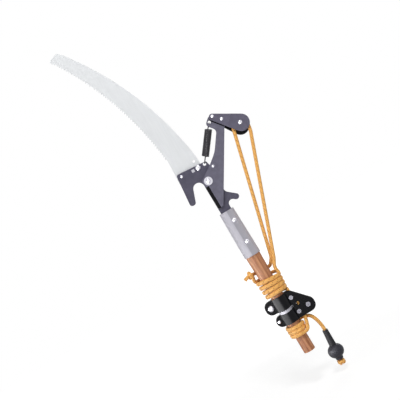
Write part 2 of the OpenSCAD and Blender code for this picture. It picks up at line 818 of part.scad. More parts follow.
// Liner round the pole, with a lug between the wings that keeps it from turning
module bracket_liner() {
  color(c_bright) difference() {
    union() {
      translate([0, 0, bracket_z0 + 1]) cylinder(r = liner_r, h = bracket_z1 - bracket_z0 - 2, $fn = turn_fn);
      translate([0, -lug_t / 2, lug_z[0]]) cube([lug_out, lug_t, lug_z[1] - lug_z[0]]);
    }
    translate([0, 0, bracket_z0]) cylinder(d = pole_grip_d + 2 * seat, h = bracket_z1, $fn = turn_fn);
  }
}

module ear_bolt() {
  color(c_bright) {
    dome(ear_bolt_at, ear_bolt_head_d, ear_bolt_head_h, -ear_out);
    bar(ear_bolt_at, ear_bolt_d, -ear_out - eps, ear_out + nut_h + 2.5);
  }
}

module ear_nut() {
  color(c_bright) nut(ear_bolt_at, ear_bolt_d + 4, ear_bolt_d + 2 * seat, ear_out, ear_out + nut_h + 1.5);
}

module ear_screw() {
  color(c_bright) {
    dome(ear_screw_at, ear_screw_head_d, screw_head_h, -ear_out);
    bar(ear_screw_at, ear_screw_d, -ear_out - eps, ear_out + nut_h + 1);
  }
}

module ear_screw_nut() {
  color(c_bright) nut(ear_screw_at, ear_screw_d + 3.4, ear_screw_d + 2 * seat, ear_out, ear_out + nut_h);
}

module wing_screws() {
  color(c_zinc) for (at = wing_screw_at)
    socket_screw(at, wing_screw_d, screw_head_d, screw_head_h, -wing_out, wing_out + nut_h + 0.8);
}

module wing_spacers() {
  color(c_zinc) for (at = wing_screw_at) difference() {
    bar(at, wing_screw_d + 2 * (seat + spacer_wall), -wing_gap / 2, wing_gap / 2);
    bar(at, wing_screw_d + 2 * seat, -wing_gap, wing_gap);
  }
}

module wing_nuts() {
  color(c_zinc) for (at = wing_screw_at)
    nut(at, wing_screw_d + 3.2, wing_screw_d + 2 * seat, wing_out, wing_out + nut_h);
}

module guide_axle() {
  color(c_zinc)
    socket_screw(guide_at, guide_axle_d, screw_head_d + 0.8, screw_head_h, -wing_out, wing_out + nut_h + 1);
}

module guide_axle_nut() {
  color(c_zinc) nut(guide_at, guide_axle_d + 3.6, guide_axle_d + 2 * seat, wing_out, wing_out + nut_h);
}

module guide_sheave() {
  color(c_black)
    sheave(guide_at, 0, guide_axle_d, guide_flange_r, guide_pitch_r, wing_gap - 2 * guide_play);
}

// Rope

// A point of a winding round the pole: angle 0 is at +X, 90 at the front, and z is its height
function wound(a, half_x, half_y, z) = [half_x * cos(a), -half_y * sin(a), z];
function heading(p, q) = unit(q - p);

// Place where a line from a foot touches the pulley's rope circle, as an angle; side picks the run
function touch(foot, side) =
  let (c = pivot + axle_at, d = [foot[0], foot[2]] - c)
  angle_of(d) + side * acos(sheave_pitch_r / norm(d));
function by_axle(v) = let (p = pivot + axle_at + v) [p[0], block_y, p[1]];
bow_a = by_axle(run_a_bow);
bow_b = by_axle(run_b_bow);
touch_a = touch(bow_a, -1);
touch_b = touch(bow_b, 1);
wrap = (touch_a - touch_b + 720) % 360;
wrap_steps = 16;
loop_path = concat(
  [run_a_foot, bow_a],
  [for (i = [0 : wrap_steps]) by_axle(turned(touch_a - wrap * i / wrap_steps, sheave_pitch_r))],
  [bow_b, run_b_foot]);
run_a_dir = heading(bow_a, run_a_foot);
run_b_dir = heading(bow_b, run_b_foot);

module rope_loop() {
  color(c_rope) tube(loop_path, rope_d, rope_sides);
}

// From the foot of the pulley's left run, behind the pole, to the knot
module rope_anchor() {
  start = run_a_foot + clear * run_a_dir;
  color(c_rope) tube(concat([start, start + rope_d / 2 * run_a_dir], anchor_route), rope_d, rope_sides);
}

module rope_knot() {
  color(c_rope) {
    translate(knot_at) sphere(r = rope_d - 0.4, $fn = 32);
    translate(knot_at + [-3, -2, 4]) sphere(r = rope_r + 1, $fn = 32);
    translate(knot_at) rotate([0, -86, 0]) cylinder(r1 = rope_r + 0.6, r2 = rope_r - 0.4, h = 14, $fn = 32);
  }
}

module rope_end() {
  color(c_rope) tube(end_route, rope_d, rope_sides);
}

// Upper winding: loose turns down the pole, from the foot of the right run to the bracket.
// The first turns lie to the right and are lifted at the left, and the last ones lie square to the pole.
upper_half_y = pole_r(upper_z) + rope_r + rope_seat;
function upper_left(a) = (1 - cos(a)) / 2;
function upper_point(a) = let (past = a / 360 / upper_turns)
  [upper_shift, 0, upper_lift * (1 - past) * upper_left(a)]
  + wound(a, upper_half_w + upper_taper * (1 - 2 * past), upper_half_y, upper_z - upper_pitch * a / 360);
upper_from = 20;
upper_to = 360 * upper_turns - 40;
upper_in = run_b_foot + clear * run_b_dir;
upper_path = concat(
  [upper_in],
  bezier(upper_in + rope_d * run_b_dir, upper_in + 18 * run_b_dir,
    upper_point(upper_from) - 9 * heading(upper_point(upper_from), upper_point(upper_from + 1)),
    upper_point(upper_from), 7),
  [for (a = [upper_from + 15 : 15 : upper_to]) upper_point(a)],
  bezier(upper_point(upper_to), upper_point(upper_to) + 9 * heading(upper_point(upper_to - 1), upper_point(upper_to)),
    guide_head + [0, 0, rope_d + 1], guide_head + [0, 0, rope_d], 6),
  [guide_head]);

module rope_upper_winding() {
  echo(upper_winding_gap = least_gap(upper_path, rope_d, loop_rings / 2));
  color(c_rope) tube(upper_path, rope_d, winding_sides);
}

module rope_guide_strand() {
  color(c_rope) tube(concat([guide_head, guide_head - [0, 0, rope_d / 2]], guide_route, [guide_foot]),
    rope_d, rope_sides);
}

// Lower winding: from the bracket down past the turns, then tight turns up the pole and out to the tail.
// The turns climb more at the back than at the front.
function lower_point(a) =
  let (z = lower_z + lower_pitch * (a / 360 - lower_level * (1 - cos(a)) / 4), r = pole_r(z + rope_r) + rope_r + rope_seat)
  wound(a, r, r, z);
guide_dir = heading(guide_route[len(guide_route) - 1], guide_foot);
lower_from = 75;
lower_lead = 16;
tail_dir = heading(tail_head, tail_route[0]);
lower_path = concat(
  [guide_foot],
  bezier(guide_foot + rope_d * guide_dir, lower_sweep,
    lower_point(lower_from) - lower_lead * heading(lower_point(lower_from), lower_point(lower_from + 1)),
    lower_point(lower_from), 8),
  [for (a = [lower_from + 15 : 15 : lower_exit]) lower_point(a)],
  bezier(lower_point(lower_exit),
    lower_point(lower_exit) + 8 * heading(lower_point(lower_exit - 1), lower_point(lower_exit)),
    tail_head - (rope_d + 5) * tail_dir, tail_head - rope_d * tail_dir, 5),
  [tail_head]);

module rope_lower_winding() {
  echo(lower_winding_gap = least_gap(lower_path, rope_d, loop_rings / 2));
  color(c_rope) tube(lower_path, rope_d, winding_sides);
}

module rope_tail() {
  color(c_rope) tube(concat([tail_head], tail_route,
    [handle_top - 3 * handle_dir, handle_top + 6 * handle_dir, handle_top + ball_low * handle_dir]),
    rope_d, rope_sides);
}

// Handle on the rope's end

module on_handle() {
  translate(handle_top) rotate([0, handle_lean, 0]) mirror([0, 0, 1]) children();
}

module handle_sleeve() {
  color(c_black) on_handle() difference() {
    cylinder(r1 = sleeve_top_r, r2 = sleeve_low_r, h = sleeve_len, $fn = turn_fn);
    translate([0, 0, -1]) cylinder(r = rope_bore_r, h = sleeve_len + 2, $fn = turn_fn);
  }
}

module handle_ball() {
  steps = 24;
  crown = [for (k = [1 : steps - 1]) let (a = 180 * k / steps)
    [ball_d / 2 * sin(a), ball_mid - ball_h / 2 * cos(a)]];
  solid = [for (p = crown) if (p[1] > sleeve_len && (p[0] > neck_r || p[1] < ball_mid)) p];
  color(c_grip) on_handle() rotate_extrude($fn = turn_fn) polygon(concat(
    [[rope_bore_r, sleeve_len]], solid,
    [[neck_r, ball_low], [rope_bore_r, ball_low]]));
}

module handle_knot() {
  color(c_rope) on_handle() translate([0, 0, ball_low]) rotate_extrude($fn = turn_fn) polygon(concat(
    [[0, 0]],
    [for (k = [1 : 11]) let (a = 180 * k / 12) [knot_r * sqrt(sin(a)), knot_h / 2 * (1 - cos(a))]],
    [[0, knot_h]]));
}

wooden_pole();
socket();
socket_rivets();
hook_plate();
saw_blade();
saw_bolt();
saw_nut();
saw_rivet();
saw_key();
pivot_bolt();
pivot_nut();
cutting_lever();
lever_stop_pin();
cheek_front();
cheek_rear();
cheek_rivets();
pulley_axle();
pulley_sheave();
return_spring();
spring_lower_hook();
spring_upper_hook();
bracket_front();
bracket_rear();
bracket_liner();
ear_bolt();
ear_nut();
ear_screw();
ear_screw_nut();
wing_screws();
wing_spacers();
wing_nuts();
guide_axle();
guide_axle_nut();
guide_sheave();
rope_loop();
rope_anchor();
rope_end();
rope_knot();
rope_upper_winding();
rope_guide_strand();
rope_lower_winding();
rope_tail();
handle_sleeve();
handle_ball();
handle_knot();
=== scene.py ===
import bpy
import numpy as np
from mathutils import Matrix


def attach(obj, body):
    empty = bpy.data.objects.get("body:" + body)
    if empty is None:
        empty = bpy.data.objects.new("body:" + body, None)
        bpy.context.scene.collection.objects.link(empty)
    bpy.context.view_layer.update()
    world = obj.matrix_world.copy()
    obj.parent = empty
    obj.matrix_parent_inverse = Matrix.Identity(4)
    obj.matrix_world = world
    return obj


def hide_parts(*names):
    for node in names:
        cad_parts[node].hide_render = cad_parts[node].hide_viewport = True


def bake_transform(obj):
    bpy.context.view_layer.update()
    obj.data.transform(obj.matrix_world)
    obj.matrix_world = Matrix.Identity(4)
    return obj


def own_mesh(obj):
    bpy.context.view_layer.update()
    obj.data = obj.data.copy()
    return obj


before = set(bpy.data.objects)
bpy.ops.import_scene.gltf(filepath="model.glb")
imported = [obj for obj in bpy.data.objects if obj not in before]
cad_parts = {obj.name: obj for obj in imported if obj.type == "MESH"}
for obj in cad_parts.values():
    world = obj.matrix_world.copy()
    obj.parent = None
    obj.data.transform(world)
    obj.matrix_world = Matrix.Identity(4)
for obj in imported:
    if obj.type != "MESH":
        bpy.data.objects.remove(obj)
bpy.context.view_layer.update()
scene = bpy.context.scene

# Camera: it looks squarely at the flat of the head, rolled so that the pole leans 31 degrees.
# Its picture is square and covers 800 mm at the plane of the hook plate.
MM = 0.001
lean = np.radians(31)
aim = np.array([-33.6, 0.0, 370.2]) * MM
distance = 1.6
seen_width = 0.8
camera = bpy.data.objects.new("camera", bpy.data.cameras.new("camera"))
camera.data.sensor_width = 36
camera.data.lens = camera.data.sensor_width * distance / seen_width
across = np.array([np.cos(lean), 0, -np.sin(lean)])
upward = np.array([np.sin(lean), 0, np.cos(lean)])
toward = np.array([0.0, -1.0, 0.0])
place = np.eye(4)
place[:3] = np.stack([across, upward, toward, aim + distance * toward], axis=1)
camera.matrix_world = Matrix(place.tolist())
scene.collection.objects.link(camera)
scene.camera = camera
scene.view_settings.view_transform = "Standard"


# Studio: a white surround, a pale floor that keeps a soft shadow, a broad softbox on the left, a small
# one above, and weaker ones on the right and behind. A low reflector on the left, seen in gloss alone,
# draws the bright band on the bracket.
def add(tree, kind, inputs=None, stops=None, **settings):
    """Adds one node. inputs holds values, sockets, or nodes whose first output is linked; stops are a
    ramp's places and colours, its two ends first."""
    node = tree.nodes.new("ShaderNode" + kind)
    for name, value in settings.items():
        setattr(node, name, value)
    for name, value in (inputs or {}).items():
        if isinstance(value, bpy.types.Node):
            value = value.outputs[0]
        if isinstance(value, bpy.types.NodeSocket):
            tree.links.new(value, node.inputs[name])
        else:
            node.inputs[name].default_value = value
    for i, (spot, colour) in enumerate(stops or []):
        ramp = node.color_ramp.elements
        element = ramp[i] if i < 2 else ramp.new(spot)
        element.position, element.color = spot, colour
    return node


def seen_directly(tree):
    """1 for rays from the camera, from a mirror or through glass, 0 for light that falls on the object."""
    path = add(tree, "LightPath")
    shiny = add(tree, "Math", {0: path.outputs["Is Glossy Ray"], 1: path.outputs["Is Transmission Ray"]},
                operation="MAXIMUM")
    return add(tree, "Math", {0: path.outputs["Is Camera Ray"], 1: shiny}, operation="MAXIMUM")


surround_light = 0.23
world = bpy.data.worlds.new("white surround")
world.use_nodes = True
tree = world.node_tree
level = add(tree, "Mix", {0: seen_directly(tree), 2: surround_light, 3: 1.0})
tree.links.new(level.outputs[0], tree.nodes["Background"].inputs["Strength"])
tree.nodes["Background"].inputs["Color"].default_value = (1, 1, 1, 1)
scene.world = world

# The floor's own white grows from floor_glow near the object, where the shadow shows, to 1 far off.
floor_z, floor_half = -72.0, 4000.0
shadow_reach, white_reach = 300.0, 1200.0
floor_glow = 0.78
paper_tone, shadow_tone = 0.86, 0.3
floor_mesh = bpy.data.meshes.new("studio_floor")
corners = np.array([[-1, -1, 0], [1, -1, 0], [1, 1, 0], [-1, 1, 0]]) * floor_half + [0, 0, floor_z]
floor_mesh.from_pydata((corners * MM).tolist(), [], [[0, 1, 2, 3]])
floor = bpy.data.objects.new("studio_floor", floor_mesh)
scene.collection.objects.link(floor)
floor_paint = bpy.data.materials.new("matt white paper")
floor_paint.use_nodes = True
tree = floor_paint.node_tree
plain = add(tree, "BsdfDiffuse", {"Color": (paper_tone, paper_tone, paper_tone, 1)})
shadowed = add(tree, "BsdfDiffuse", {"Color": (shadow_tone, shadow_tone, shadow_tone, 1)})
where = add(tree, "TexCoord").outputs["Object"]
from_middle = add(tree, "VectorMath", {0: where}, operation="LENGTH").outputs["Value"]
glow_level = add(tree, "MapRange", {0: from_middle, 1: shadow_reach * MM, 2: white_reach * MM,
                                    3: floor_glow, 4: 1.0})
glow = add(tree, "Emission", {"Color": (1, 1, 1, 1), "Strength": glow_level})
shown = add(tree, "AddShader", {0: shadowed, 1: glow})
paper = add(tree, "MixShader", {0: seen_directly(tree), 1: plain, 2: shown})
tree.links.new(paper.outputs[0], tree.nodes["Material Output"].inputs["Surface"])
floor_mesh.materials.append(floor_paint)

bracket_middle = np.array([0.0, 0.0, 0.095])
# Each lamp: name, place and target in metres, width and height in metres, power in watts, and whether
# it lights matt surfaces.
for name, spot, target, width, height, power, lights_matt in (
    ("left softbox", (-2.25, -1.65, 0.75), aim, 3.0, 1.6, 35.0, True),
    ("left reflector", (-0.286, -0.165, 0.105), bracket_middle, 0.68, 0.24, 5.6, False),
    ("upper softbox", (0.5, -1.76, 2.45), aim, 0.5, 0.5, 36.0, True),
    ("right softbox", (2.6, -1.4, 0.6), aim, 1.4, 1.2, 5.5, True),
    ("rear softbox", (1.0, 2.4, 1.3), aim, 2.0, 1.2, 22.0, True),
):
    lamp = bpy.data.objects.new(name, bpy.data.lights.new(name, "AREA"))
    lamp.data.shape = "RECTANGLE"
    lamp.data.size, lamp.data.size_y, lamp.data.energy = width, height, power
    ray = np.array(spot) - target
    ray /= np.linalg.norm(ray)
    side = np.cross([0, 0, 1], ray)
    side /= np.linalg.norm(side)
    place = np.eye(4)
    place[:3] = np.stack([side, np.cross(ray, side), ray, spot], axis=1)
    lamp.matrix_world = Matrix(place.tolist())
    lamp.visible_diffuse = lights_matt
    lamp.visible_camera = False
    scene.collection.objects.link(lamp)


# Wooden pole: a turned hardwood shaft, oiled, thinner at its lower end where an extension pole
# takes it. Its grain runs along the shaft, with short dark pores. Real pores are about 0.3 mm wide,
# and they are drawn three times as wide, so that they show.
def paint(code):
    """sRGB hex to linear colour: c / 12.92 up to 0.04045, and ((c + 0.055) / 1.055) ** 2.4 above it."""
    c = np.array([int(code[i : i + 2], 16) for i in (1, 3, 5)]) / 255
    return (*np.where(c <= 0.04045, c / 12.92, ((c + 0.055) / 1.055) ** 2.4), 1.0)


def finish(name, **values):
    """A new material, its node tree and its shader; values set the shader's sockets, with _ for a space."""
    material = bpy.data.materials.new(name)
    material.use_nodes = True
    shader = material.node_tree.nodes["Principled BSDF"]
    for socket, value in values.items():
        shader.inputs[socket.replace("_", " ")].default_value = value
    return material, material.node_tree, shader


def dress(material, *nodes):
    """Gives CAD nodes this material in each of their slots."""
    for node in nodes:
        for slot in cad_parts[node].material_slots:
            slot.material = material


def per_mm(size):
    """Scale of a pattern on Object coordinates, which are in metres, whose period is size in mm."""
    return 1 / (size * MM)


grain_width, pore_width = 6, 0.9
grain_draw, pore_draw = (1, 1, 0.045), (1, 1, 0.07)
wood_tones = [(0.3, paint("#8e5338")), (0.72, paint("#dca880")), (0.52, paint("#bf8560"))]
oiled_wood, tree, shader = finish("oiled hardwood", Roughness=0.52, Specular_IOR_Level=0.15)
where = add(tree, "TexCoord").outputs["Object"]
drawn = add(tree, "Mapping", {"Vector": where, "Scale": grain_draw})
broad = add(tree, "TexNoise", {"Vector": drawn, "Scale": per_mm(grain_width), "Detail": 5.0,
                               "Roughness": 0.62, "Distortion": 0.5})
tone = add(tree, "ValToRGB", {0: broad}, wood_tones)
thin = add(tree, "Mapping", {"Vector": where, "Scale": pore_draw})
fine = add(tree, "TexNoise", {"Vector": thin, "Scale": per_mm(pore_width), "Detail": 2.0})
pores = add(tree, "ValToRGB", {0: fine}, [(0.33, (0, 0, 0, 1)), (0.47, (1, 1, 1, 1))])
streaked = add(tree, "Mix", {0: 0.3, "A": tone, "B": pores}, data_type="RGBA", blend_type="MULTIPLY")
tree.links.new(streaked.outputs["Result"], shader.inputs["Base Color"])
rough = add(tree, "MapRange", {0: fine, 3: 0.62, 4: 0.46})
tree.links.new(rough.outputs[0], shader.inputs["Roughness"])
relief = add(tree, "Bump", {"Height": pores, "Strength": 0.25, "Distance": 0.3 * MM})
tree.links.new(relief.outputs[0], shader.inputs["Normal"])
dress(oiled_wood, "wooden_pole")


# Socket: a tube of pressed steel sheet over the pole's top, lapped at the front and riveted through
# twice. Its sheet is drawn lengthwise under a clear lacquer, so it shows faint long lines. The lap beside
# the seam is darker, a painted shade that fades towards the lap's far end. The same way of brushing
# dresses the other bare metals.
def brushed(name, colour, roughness, width, draw, contrast=0.1, metal=1.0, gloss=0.5):
    """Sheet metal with a grain of lines: noise of the given width in mm, drawn out along one axis by draw.
    Real lines are about 0.1 mm wide, and these are coarser, so that they show."""
    material, tree, shader = finish(name, Metallic=metal, Roughness=roughness, Specular_IOR_Level=gloss)
    where = add(tree, "TexCoord").outputs["Object"]
    lines = add(tree, "Mapping", {"Vector": where, "Scale": draw})
    grain = add(tree, "TexNoise", {"Vector": lines, "Scale": per_mm(width), "Detail": 3.0, "Roughness": 0.6})
    low, high = (tuple(c * f for c in paint(colour)[:3]) + (1,) for f in (1 - contrast, 1 + contrast / 2))
    tone = add(tree, "ValToRGB", {0: grain}, [(0.3, low), (0.7, high)])
    tree.links.new(tone.outputs[0], shader.inputs["Base Color"])
    worn = add(tree, "MapRange", {0: grain, 3: roughness - 0.07, 4: roughness + 0.09})
    tree.links.new(worn.outputs[0], shader.inputs["Roughness"])
    relief = add(tree, "Bump", {"Height": grain, "Strength": 0.12, "Distance": 0.1 * MM})
    tree.links.new(relief.outputs[0], shader.inputs["Normal"])
    return material


lengthwise, even = (1, 1, 0.02), (1, 1, 1)
seam_x, lap_end_x, lap_depth = -0.6, 11.6, 2.0
lap_shade_depth, lap_shade_grey = 0.36, (0.1, 0.1, 0.12, 1)
lacquered = brushed("lacquered sheet steel", "#bab8c1", 0.55, 1.1, lengthwise, 0.03, 0.02, 0.15)
tree = lacquered.node_tree
shader = tree.nodes["Principled BSDF"]
sheet = shader.inputs["Base Color"].links[0].from_socket
position = add(tree, "SeparateXYZ", {0: add(tree, "TexCoord").outputs["Object"]})
# Painted shade: past the seam, on the front, the sheet is mixed towards a dark grey, most at the seam and none at
# the lap's far end.
past_seam = add(tree, "MapRange", {0: position.outputs["X"], 1: (seam_x - 0.3) * MM, 2: (seam_x + 0.1) * MM})
lap_shade_fade = add(tree, "MapRange", {0: position.outputs["X"], 1: seam_x * MM, 2: lap_end_x * MM,
                                3: lap_shade_depth, 4: 0.0})
in_front = add(tree, "MapRange", {0: position.outputs["Y"], 1: 0.0, 2: -lap_depth * MM})
on_lap = add(tree, "Math", {0: past_seam, 1: lap_shade_fade}, operation="MULTIPLY")
lap = add(tree, "Math", {0: on_lap, 1: in_front}, operation="MULTIPLY")
lap_shaded = add(tree, "Mix", {0: lap, "A": sheet, "B": lap_shade_grey}, data_type="RGBA")
tree.links.new(lap_shaded.outputs["Result"], shader.inputs["Base Color"])
dress(lacquered, "socket")
dress(brushed("zinc-plated sheet steel", "#c9c7d1", 0.45, 1.1, lengthwise, 0.06, 0.05, 0.25), "bracket_liner")
dress(brushed("polished rivet alloy", "#c6c5cd", 0.2, 0.6, even),
      "socket_rivets", "cheek_rivets", "saw_rivet", "saw_key", "lever_stop_pin", "pulley_axle")


# Hook plate: blanked steel plate, 5 mm thick, with a satin grey powder coat. The coat has a fine
# skin like orange peel, faint mottling, and is rubbed pale along the edges.
def coat(name, colour, rubbed, roughness, gloss):
    """Powder coat on steel: base colour mottled over 9 mm, paler where a bevelled normal leaves the true one,
    in patches of 1.6 mm, and a skin of 0.8 mm. Gives the material, its tree and shader, and the colour's node."""
    material, tree, shader = finish(name, Specular_IOR_Level=gloss)
    where = add(tree, "TexCoord").outputs["Object"]
    cloud = add(tree, "TexNoise", {"Vector": where, "Scale": per_mm(9), "Detail": 4.0})
    low, high = (tuple(c * f for c in paint(colour)[:3]) + (1,) for f in (0.9, 1.1))
    tone = add(tree, "ValToRGB", {0: cloud}, [(0.3, low), (0.7, high)])
    round_normal = add(tree, "Bevel", {"Radius": 0.5 * MM}, samples=4)
    flat_normal = add(tree, "NewGeometry").outputs["Normal"]
    match = add(tree, "VectorMath", {0: round_normal, 1: flat_normal}, operation="DOT_PRODUCT").outputs["Value"]
    edge = add(tree, "MapRange", {0: match, 1: 0.99, 2: 0.86, 3: 0.0, 4: 0.45})
    speck = add(tree, "TexNoise", {"Vector": where, "Scale": per_mm(1.6), "Detail": 3.0})
    patchy = add(tree, "MapRange", {0: speck, 1: 0.42, 2: 0.62})
    amount = add(tree, "Math", {0: edge, 1: patchy}, operation="MULTIPLY")
    mixed = add(tree, "Mix", {0: amount, "A": tone, "B": paint(rubbed)}, data_type="RGBA")
    tree.links.new(mixed.outputs["Result"], shader.inputs["Base Color"])
    skin = add(tree, "TexNoise", {"Vector": where, "Scale": per_mm(0.8), "Detail": 2.0})
    rough = add(tree, "MapRange", {0: cloud, 3: roughness - 0.05, 4: roughness + 0.07})
    tree.links.new(rough.outputs[0], shader.inputs["Roughness"])
    relief = add(tree, "Bump", {"Height": skin, "Strength": 0.1, "Distance": 0.1 * MM, "Normal": round_normal})
    tree.links.new(relief.outputs[0], shader.inputs["Normal"])
    return material, tree, shader, mixed


dress(coat("satin grey powder coat", "#555362", "#8a8895", 0.5, 0.12)[0], "hook_plate")

# Saw blade: a curved blade of spring steel with ground teeth, bolted to the hook plate. It is bright
# plated over a finish brushed along its length, so it is pale and shows faint long lines.
dress(brushed("bright plated saw steel", "#dfe1e3", 0.42, 1.6, (0.4, 1, 0.04), 0.03, 0.1, 0.18), "saw_blade")

# Fasteners: turned and pressed steel bolts, screws and nuts, zinc plated. The plate leaves a slightly
# grainy silver skin, bright on the head and the bracket's ears. The fasteners on the bracket's wings get a darker,
# rougher copy of it, a painted shade.
dress(brushed("zinc plate", "#d3d2da", 0.28, 0.9, even),
      "saw_bolt", "saw_nut", "pivot_bolt", "pivot_nut", "ear_bolt", "ear_nut", "ear_screw", "ear_screw_nut")
# Painted shade: the wings' fasteners take the same zinc, drawn darker.
dress(brushed("zinc plate in painted shade", "#807f87", 0.42, 0.9, even),
      "wing_screws", "wing_nuts", "wing_spacers", "guide_axle", "guide_axle_nut")

# Cutting lever and front cheek: flame-cut and ground steel plate under the same grey coat, a shade
# paler. The ground bevel of the cutting edge, which faces left and forward, is coloured near black, a painted dark
# reflection.
lever_coat, tree, shader, colour = coat("pale grey powder coat", "#6c6a79", "#94919f", 0.5, 0.05)
# Painted reflection: faces that point left and forward are mixed to near black.
facing = add(tree, "SeparateXYZ", {0: add(tree, "TexCoord").outputs["Normal"]})
left = add(tree, "MapRange", {0: facing.outputs["X"], 1: -0.08, 2: -0.14})
front = add(tree, "MapRange", {0: facing.outputs["Y"], 1: -0.25, 2: -0.35})
bevel_faces = add(tree, "Math", {0: left, 1: front}, operation="MULTIPLY")
bevel_painted_dark = add(tree, "Mix", {0: bevel_faces, "A": colour.outputs["Result"], "B": paint("#050508")}, data_type="RGBA")
tree.links.new(bevel_painted_dark.outputs["Result"], shader.inputs["Base Color"])
dress(lever_coat, "cutting_lever")
dress(coat("grey powder coat on the cheek", "#605d6d", "#94919f", 0.5, 0.15)[0], "cheek_front")

# Rope bracket and rear cheek: pressed steel halves clamped round the pole, and the plate behind the
# pulley. Both have a satin black powder coat, which draws long soft reflections.
dress(coat("satin black powder coat", "#040409", "#303036", 0.28, 0.13)[0],
      "cheek_rear", "bracket_front", "bracket_rear")


# Pulley and guide sheaves: grooved wheels of moulded black nylon on steel axles, one between the
# cheeks and one between the bracket's wings. The moulding leaves a dull, faintly uneven skin.
def grained(name, dark, pale, grain, bump=None, worn=None, **values):
    """A plain skin: noise of the given grain in mm leads from the dark colour to the pale one. Where they are
    given, it also makes the bump, as strength and depth in mm, and the roughness, as its two ends."""
    material, tree, shader = finish(name, **values)
    where = add(tree, "TexCoord").outputs["Object"]
    skin = add(tree, "TexNoise", {"Vector": where, "Scale": per_mm(grain), "Detail": 3.0})
    tone = add(tree, "ValToRGB", {0: skin}, [(0.3, paint(dark)), (0.7, paint(pale))])
    tree.links.new(tone.outputs[0], shader.inputs["Base Color"])
    if worn:
        rough = add(tree, "MapRange", {0: skin, 3: worn[0], 4: worn[1]})
        tree.links.new(rough.outputs[0], shader.inputs["Roughness"])
    if bump:
        relief = add(tree, "Bump", {"Height": skin, "Strength": bump[0], "Distance": bump[1] * MM})
        tree.links.new(relief.outputs[0], shader.inputs["Normal"])
    return material


nylon = grained("moulded black nylon", "#1a1a1e", "#232328", 1.2, (0.15, 0.1), (0.38, 0.6), Roughness=0.5)
dress(nylon, "pulley_sheave", "guide_sheave")


# Return spring: close-wound spring wire, oiled black. Each hook is a thicker wire whose shank lies in the
# coil's end; the lower one turns in the plate's hole and the upper one stays in the lever's.
def along(points, step):
    """Points every step mm on a smooth curve through the given ones, and their distances along it: cubic Hermite
    pieces, where the tangent at a point is the mean of the two chords' slopes, each weighted with the other
    chord's length."""
    p = np.asarray(points, float)
    h = np.linalg.norm(np.diff(p, axis=0), axis=1)
    slope = np.diff(p, axis=0) / h[:, None]
    inner = (slope[:-1] * h[1:, None] + slope[1:] * h[:-1, None]) / (h[:-1] + h[1:])[:, None]
    m = np.vstack([slope[:1], inner, slope[-1:]])
    knots = np.r_[0, np.cumsum(h)]
    t = np.linspace(0, knots[-1], int(knots[-1] * 10) + 2)
    i = np.clip(np.searchsorted(knots, t, "right") - 1, 0, len(h) - 1)
    u = ((t - knots[i]) / h[i])[:, None]
    k = h[i][:, None]
    dense = ((2 * u**3 - 3 * u**2 + 1) * p[i] + (u**3 - 2 * u**2 + u) * k * m[i]
             + (3 * u**2 - 2 * u**3) * p[i + 1] + (u**3 - u**2) * k * m[i + 1])
    length = np.r_[0, np.cumsum(np.linalg.norm(np.diff(dense, axis=0), axis=1))]
    s = np.linspace(0, length[-1], max(4, round(length[-1] / step)) + 1)
    return np.stack([np.interp(s, length, dense[:, c]) for c in range(3)], axis=1), s


def sides_of(centre):
    """Two unit vectors across the curve at each point, with no twist: any pair square to the tangent, turned by
    the running sum of the angles by which each pair differs from the one before it, carried along."""
    t = np.gradient(centre, axis=0)
    t /= np.linalg.norm(t, axis=1, keepdims=True)
    u = np.cross(t, np.eye(3)[np.abs(t).argmin(axis=1)])
    u /= np.linalg.norm(u, axis=1, keepdims=True)
    v = np.cross(t, u)
    k = np.cross(t[:-1], t[1:])
    c = (t[:-1] * t[1:]).sum(axis=1, keepdims=True)
    w = u[:-1] * c + np.cross(k, u[:-1]) + k * (k * u[:-1]).sum(axis=1, keepdims=True) / (1 + c)
    turn = np.r_[0, np.cumsum(np.arctan2((w * v[1:]).sum(axis=1), (w * u[1:]).sum(axis=1)))][:, None]
    return u * np.cos(turn) + v * np.sin(turn), v * np.cos(turn) - u * np.sin(turn)


def skin_of(rings, tips):
    """Closed tubes from rings[tube, ring, side]: quads between neighbouring rings, and a fan from each end ring
    to that end's tip point. Gives points, quads and triangles, all facing outwards."""
    m, n, k, _ = rings.shape
    here = np.arange(m * n * k).reshape(m, n, k)
    ahead = np.roll(here, -1, axis=2)
    quads = np.stack([here[:, :-1], ahead[:, :-1], ahead[:, 1:], here[:, 1:]], axis=-1).reshape(-1, 4)
    first = np.broadcast_to(m * n * k + np.arange(m)[:, None], (m, k))
    fans = np.concatenate([np.stack([ahead[:, 0], here[:, 0], first], axis=-1).reshape(-1, 3),
                           np.stack([here[:, -1], ahead[:, -1], first + m], axis=-1).reshape(-1, 3)])
    return np.concatenate([rings.reshape(-1, 3), tips[:, 0], tips[:, 1]]), quads, fans


def piece(name, points, quads, triangles, material, **marks):
    """A smooth mesh at the origin from points in mm, with one attribute of each point for each mark."""
    mesh = bpy.data.meshes.new(name)
    mesh.vertices.add(len(points))
    mesh.vertices.foreach_set("co", (points * MM).astype(np.float32).ravel())
    loops = np.concatenate([quads.ravel(), triangles.ravel()]).astype(np.int32)
    starts = np.concatenate([4 * np.arange(len(quads)), 4 * len(quads) + 3 * np.arange(len(triangles))])
    mesh.loops.add(len(loops))
    mesh.loops.foreach_set("vertex_index", loops)
    mesh.polygons.add(len(starts))
    mesh.polygons.foreach_set("loop_start", starts.astype(np.int32))
    mesh.polygons.foreach_set("use_smooth", np.ones(len(starts), bool))
    for mark, values in marks.items():
        mesh.attributes.new(mark, "FLOAT", "POINT").data.foreach_set("value", values.astype(np.float32).ravel())
    mesh.update(calc_edges=True)
    mesh.materials.append(material)
    made = bpy.data.objects.new(name, mesh)
    scene.collection.objects.link(made)
    return made


